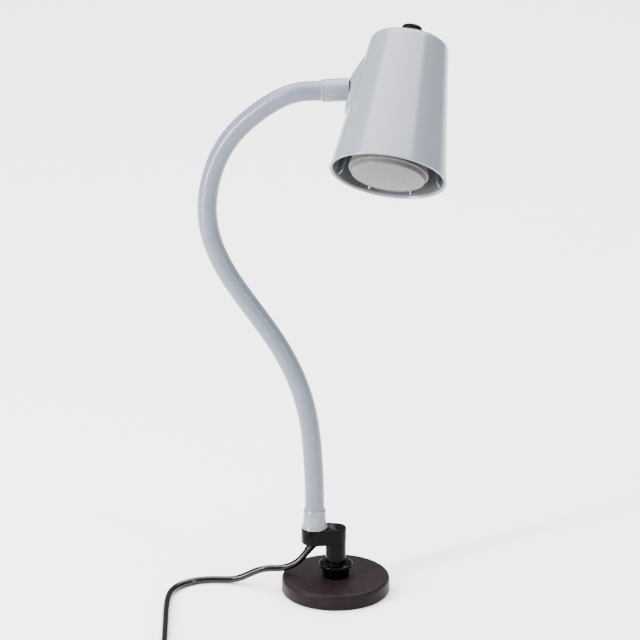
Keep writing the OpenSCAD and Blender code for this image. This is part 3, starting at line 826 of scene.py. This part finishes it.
def make_shade():
    """The shade with its housing, rolled rim and holes; its inner wall is painted a darker grey as
    painted shade.
    """
    outer = cone_outline(0)
    inner = cone_outline(WALL)[::-1]
    flat_r = outer[0][0]
    flat = [(0, TOP_Z), (flat_r * 0.35, TOP_Z), (flat_r * 0.7, TOP_Z)]
    outer_start, outer_end = len(flat), len(flat) + len(outer) - 1
    low_r = outer[-1][0]
    rim = [(-0.2, 1.6), (0.25, 1.3), (0.35, 0.5), (0.1, 0.05), (-0.45, 0), (-1.15, 0),
           (-1.3, 0.55), (-1.75, 0.55), (-1.9, 0.1), (-2.5, 0.1), (-2.95, 0.5)]
    outline = flat + outer[:-1] + [(low_r + r, MOUTH_Z + z) for r, z in rim]
    outline += inner[1:] + [(0, TOP_Z - WALL)]
    angles = shade_angles()
    verts, faces = [], []
    n = len(outline)
    for a in angles:
        for k, (r, z) in enumerate(outline):
            rr = outer_radius(a, r, z) if outer_start <= k < outer_end else r
            verts.append(HEAD @ Vector((rr * math.cos(a) * MM, rr * math.sin(a) * MM, z * MM)))
    for i in range(len(angles)):
        j = (i + 1) % len(angles)
        for k in range(n - 1):
            faces.append([i * n + k, j * n + k, j * n + k + 1, i * n + k + 1])
    obj = link("shade_shell", mesh_from("shade_shell", verts, faces), "shade_grey", 35)
    # Painted shade: the inner faces, all but the last 3 mm at the mouth, take the darker grey that
    # stands in for the shadow inside the shade
    obj.data.materials.append(LOOK["shade_inside_painted_shade"])
    to_head = HEAD.inverted()
    for poly in obj.data.polygons:
        c = to_head @ poly.center / MM
        inside = math.hypot(c.x, c.y) < wall_radius(c.z, WALL) + 0.8
        if inside and MOUTH_Z + 3.0 < c.z < TOP_Z - 1.5:
            poly.material_index = 1
    toward_arm = frame_along(HEAD_AT, -GRIP, Vector((0, 1, 0)))
    sleeve_r, nipple_r, switch_r, screw_r = 13.65, 6.4, 5.05, 2.1
    cut(obj, cutter_cylinder(sleeve_r, SLEEVE_TO_AXIS / MM - 0.05, 90, toward_arm, 96))
    cut(obj, cutter_cylinder(nipple_r, 30, 90, toward_arm, 64))
    cut(obj, cutter_cylinder(switch_r, 50, 62, HEAD, 64))
    for side in (1, -1):
        screw = HEAD @ Matrix.Translation((0, side * 27 * MM, 0))
        cut(obj, cutter_cylinder(screw_r, 50, 62, screw, 32))
    with_sharp_edges(obj.data, math.radians(35))
    pad = [(nipple_r, 46.65), (12, 46.65), (12, 52.5), (nipple_r, 52.5)]
    ride(lathe("swivel_seat", pad, "shade_grey", toward_arm, 64), "head")
    return obj


def wall_radius(z, inset):
    """Radius at a height of the cone drawn in by inset."""
    sharp = TOP_R + inset * math.tan(CONE) - inset / math.cos(CONE)
    return sharp + (TOP_Z - inset - z) * math.tan(CONE)


RIB_COUNT, RIB_ROWS, RIB_DEPTH = 8, 26, 5.0


def make_ribs():
    """Thin ribs on the inner wall, each with a rounded lower tip."""
    verts, faces = [], []
    low, high = MOUTH_Z + 4.0, 28.0
    for i in range(RIB_COUNT):
        place = HEAD @ Matrix.Rotation(math.radians(22.5 + 360 / RIB_COUNT * i), 4, "Z")
        start = len(verts)
        for k in range(RIB_ROWS):
            z = low + (high - low) * k / (RIB_ROWS - 1)
            edge = max(min((z - low) / 4.0, (high - z) / 8.0, 1.0), 0.0)
            depth = RIB_DEPTH * math.sqrt(max(1 - (1 - edge) ** 2, 0.05))
            outer = wall_radius(z, WALL) + 0.5
            inner = wall_radius(z, WALL) - depth
            section = ((outer, -1.5), (inner + 1.3, -1.4), (inner + 0.4, -1.05), (inner, -0.4),
                       (inner, 0.4), (inner + 0.4, 1.05), (inner + 1.3, 1.4), (outer, 1.5))
            verts += [place @ Vector((x * MM, y * MM, z * MM)) for x, y in section]
        faces += capped_faces(RIB_ROWS, len(section), start)
    ride(link("shade_ribs", mesh_from("shade_ribs", verts, faces), "shade_grey", 50), "head")


shade = make_shade()
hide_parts("shade")
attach(shade, "head")
make_ribs()

# ---------------------------------------------------------------- lamp

LAMP_FACE = MOUTH_Z - 2.4
LAMP_R = 46.5
CAP_LOW = LAMP_FACE + 117 - 26
LENS_EDGE, LENS_RINGS, LENS_SIDES = 40.4, 90, 400
# The lens's plain rim and its inside: radius, and height over the face
LENS_RIM = [(40.7, 1.2), (41.4, 1.0), (42.2, 1.15), (42.8, 1.7), (43.1, 2.6), (43.3, 4.5),
            (43.5, 6.3), (43.9, 6.9), (44.5, 6.7), (45.3, 6.5), (46.0, 6.7), (46.4, 7.3),
            (46.5, 8.2), (46.5, 11), (44.3, 11), (44.3, 8.6), (41, 6.0), (20, 4.6)]
LENS_BACK = 4.4


def stipple(x, y):
    """Height of the small round pimples on the lens, on a hexagonal lattice."""
    pitch = 2.3
    k = 2 * math.pi / pitch
    value = 0.0
    for turn in (0, 60, 120):
        a = math.radians(turn)
        value += math.cos(k * (x * math.cos(a) + y * math.sin(a)) * 2 / math.sqrt(3))
    return 0.30 * max(0.0, (value + 1.5) / 4.5)


def make_lens():
    """A crowned lens with a stippled face, then a plain rim."""
    n = LENS_SIDES
    turns = [2 * math.pi * q / n for q in range(n)]
    verts = [HEAD @ Vector((0, 0, (LAMP_FACE - stipple(0, 0)) * MM))]
    for i in range(1, LENS_RINGS + 1):
        r = LENS_EDGE * i / LENS_RINGS
        crown = 1.6 * (r / 42.0) ** 2
        fade = smooth((LENS_EDGE - r) / 1.5)
        for a in turns:
            x, y = r * math.cos(a), r * math.sin(a)
            z = LAMP_FACE + crown - fade * stipple(x, y)
            verts.append(HEAD @ Vector((x * MM, y * MM, z * MM)))
    for r, z in LENS_RIM:
        for a in turns:
            at = (r * math.cos(a) * MM, r * math.sin(a) * MM, (LAMP_FACE + z) * MM)
            verts.append(HEAD @ Vector(at))
    back = len(verts)
    verts.append(HEAD @ Vector((0, 0, (LAMP_FACE + LENS_BACK) * MM)))
    rows = LENS_RINGS + len(LENS_RIM)
    last = 1 + (rows - 1) * n
    faces = []
    for q in range(n):
        m = (q + 1) % n
        faces.append([0, 1 + q, 1 + m])
        for i in range(rows - 1):
            low, high = 1 + i * n, 1 + (i + 1) * n
            faces.append([low + q, high + q, high + m, low + m])
        faces.append([last + q, back, last + m])
    lens = link("lens_face", mesh_from("lens_face", verts, faces), "lens_glass", 60)
    ride(lens, "head", "lamp_lens")


BOWL_STEPS, NECK_R, BOWL_WALL = 40, 13, 2


def make_bowl():
    """The lamp's reflector: a deep bowl from its neck down to the lens."""
    deep = CAP_LOW - (LAMP_FACE + 11)
    outer, inner = [], []
    for i in range(BOWL_STEPS + 1):
        z = CAP_LOW - deep * (i / BOWL_STEPS) ** 2
        r = NECK_R + (LAMP_R - NECK_R) * math.sqrt((CAP_LOW - z) / deep)
        outer.append((r, z))
        inner.append((r - BOWL_WALL, z))
    bowl = lathe("lamp_bowl", outer + inner[::-1], "lamp_glass", HEAD, smooth_angle=35)
    ride(bowl, "head", "lamp_reflector")


def make_knob():
    """Fluted knob with a slightly sunken top and a pointer as high as its rim."""
    low, high, r = TOP_Z + 4, TOP_Z + 18, 12.0

    def flutes(angle, rr, z):
        if rr < 9.0:
            return rr
        depth = 0.75 * smooth((high - 0.8 - z) / 1.2)
        return rr - depth * max(0.0, math.cos(24 * angle)) ** 1.5

    outline = [(0, low), (10.9, low), (r, low + 0.7), (r, low + 3), (r, low + 6), (r, low + 9),
               (r - 0.05, high - 2.2), (r - 0.2, high - 1.4), (r - 0.7, high - 0.6),
               (r - 1.6, high - 0.15), (r - 2.8, high), (8.2, high), (7.8, high - 0.5),
               (4, high - 0.35), (0, high - 0.3)]
    body = lathe("knob_cap", outline, "knob_plastic", HEAD, 240, wobble=flutes, smooth_angle=45)
    stem = [(0, TOP_Z + 3.1), (3, TOP_Z + 3.1), (3, low + 0.1), (0, low + 0.1)]
    shaft = lathe("knob_shaft", stem, "knob_plastic", HEAD, 32)
    ride(body, "knob", "switch_knob")
    ride(shaft, "knob")
    verts = []
    for z in (high - 0.6, high):
        for x, y in ((2.0, -0.5), (10.2, -0.5), (10.6, 0), (10.2, 0.5), (2.0, 0.5)):
            verts.append(HEAD @ Vector((x * MM, y * MM, z * MM)))
    mesh = mesh_from("knob_pointer", verts, capped_faces(2, 5))
    ride(link("knob_pointer", mesh, "grey_enamel", 30), "knob")


make_lens()
make_bowl()
make_knob()

# ---------------------------------------------------------------- CAD pieces that stay

SLOT_OF = {row["node"]: row["material_slot"] for row in frame["record"]["subparts"]}
for node_name, node_obj in NODE.items():
    node_obj.data.materials.clear()
    node_obj.data.materials.append(LOOK[SLOT_OF[node_name]])

# ---------------------------------------------------------------- floor, light

FLOOR_HALF, FLOOR_GAP = 7.0, 0.0002


def make_floor():
    bm = bmesh.new()
    bmesh.ops.create_grid(bm, x_segments=2, y_segments=2, size=FLOOR_HALF)
    mesh = bpy.data.meshes.new("floor")
    bm.to_mesh(mesh)
    bm.free()
    obj = add_object("floor", mesh)
    obj.location = (0, 0, TABLE_Z - FLOOR_GAP)
    mat, _, _, bsdf = new_material("floor")
    bsdf.inputs["Base Color"].default_value = (0.90, 0.90, 0.90, 1)
    bsdf.inputs["Roughness"].default_value = 0.9
    bsdf.inputs["Specular IOR Level"].default_value = 0.1
    mesh.materials.append(mat)


def area_light(name, at, size, energy, target):
    data = bpy.data.lights.new(name, "AREA")
    data.shape = "RECTANGLE"
    data.size, data.size_y = size
    data.energy = energy
    obj = add_object(name, data)
    obj.location = at
    aim(obj, Vector(target) - Vector(at))


def make_world():
    world = bpy.data.worlds.new("studio")
    bpy.context.scene.world = world
    world.use_nodes = True
    back = world.node_tree.nodes["Background"]
    back.inputs["Color"].default_value = (1.0, 1.0, 1.0, 1)
    back.inputs["Strength"].default_value = 0.42


make_floor()
make_world()
area_light("key", (-1.7, -1.1, 1.15), (0.18, 2.2), 185, (0, 0, 0.90))
area_light("fill", (1.5, -1.3, 1.1), (0.10, 1.6), 26, (0, 0, 0.40))
area_light("top", (0.0, 1.4, 3.4), (5.0, 5.0), 740, (0, 1.6, 0.0))
